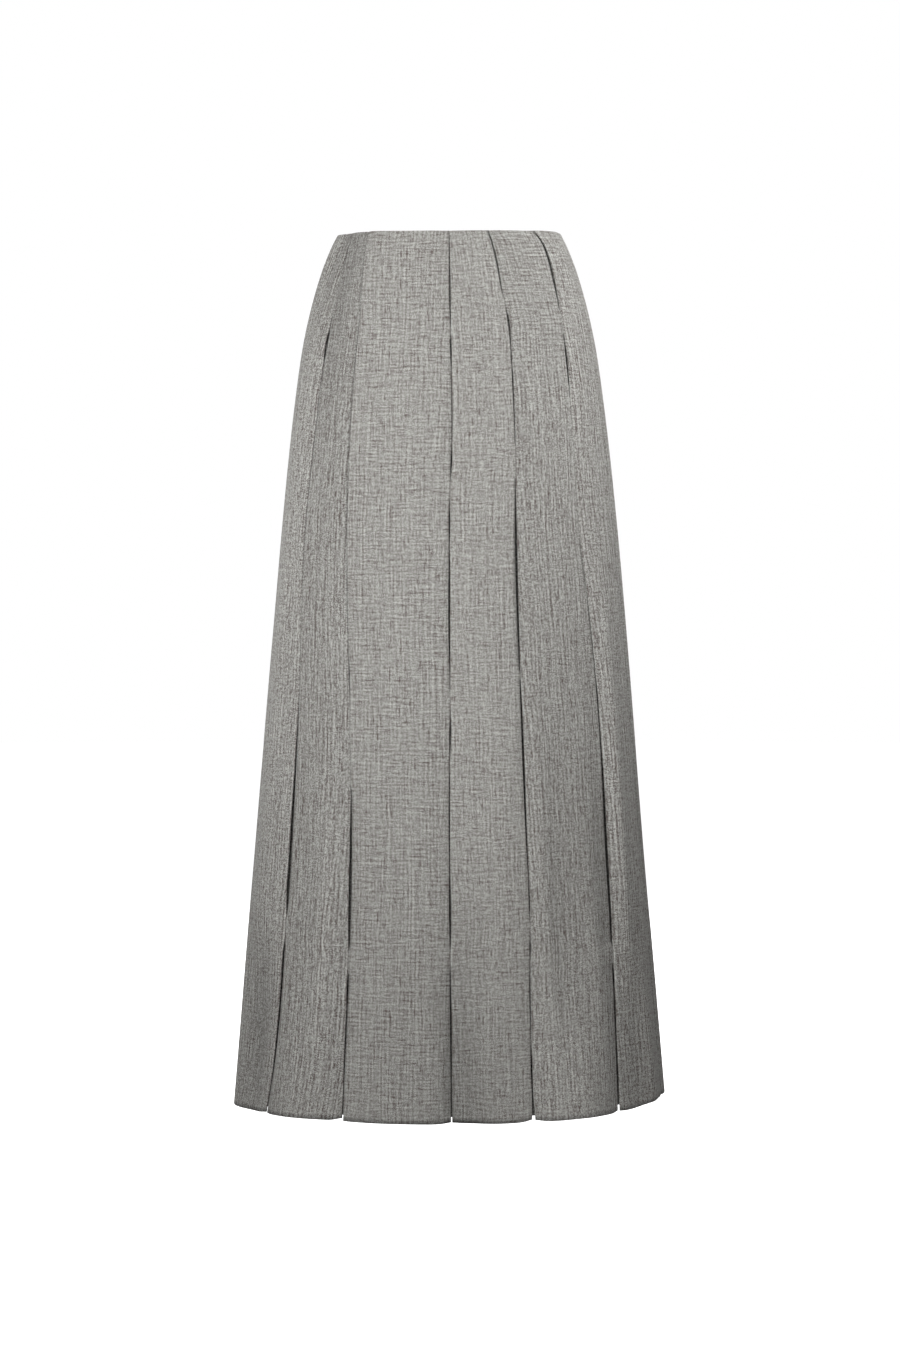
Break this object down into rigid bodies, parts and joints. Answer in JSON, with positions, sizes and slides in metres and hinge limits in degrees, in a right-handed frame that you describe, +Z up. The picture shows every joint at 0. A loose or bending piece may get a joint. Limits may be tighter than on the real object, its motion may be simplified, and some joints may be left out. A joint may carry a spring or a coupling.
{
  "type": "pleated maxi skirt",
  "caption": "Ankle-length A-line skirt in grey slub cloth, in its worn hollow form, with inverted pleats from waist to hem and a concealed back zip.",
  "frame": {"origin": "middle of the waist opening, level with the waist edge", "axes": "+Z up from hem to waist, -Y out of the skirt's front, +X to the wearer's left"},
  "size_m": [0.4562, 0.3451, 0.92],
  "materials": {
    "cloth": "matte grey melange plain weave with uneven slub threads",
    "zip_tape": "matte grey woven tape",
    "zip_metal": "satin grey enamel"
  },
  "bodies": {
    "skirt": {"front_gore_1": "cloth", "front_gore_2": "cloth", "front_gore_3": "cloth", "front_gore_4": "cloth", "front_gore_5": "cloth", "front_gore_6": "cloth", "back_gore_1": "cloth", "back_gore_2": "cloth", "back_gore_3": "cloth", "back_gore_4": "cloth", "back_gore_5": "cloth", "back_gore_6": "cloth", "pleat_underlay_1": "cloth", "pleat_underlay_2": "cloth", "pleat_underlay_3": "cloth", "pleat_underlay_4": "cloth", "pleat_underlay_5": "cloth", "pleat_underlay_6": "cloth", "pleat_underlay_7": "cloth", "pleat_underlay_8": "cloth", "pleat_underlay_9": "cloth", "pleat_underlay_10": "cloth", "pleat_underlay_11": "cloth", "zip_tape_left": "zip_tape", "zip_tape_right": "zip_tape", "zip_slider": "zip_metal"},
    "pull": {"zip_pull": "zip_metal"}
  },
  "joints": [
    {"name": "pull_swing", "type": "hinge", "parent": "skirt", "child": "pull", "pos_m": [0, 0.09959, -0.00841], "axis": [1, 0, 0], "range_deg": [0, 150]}
  ]
}
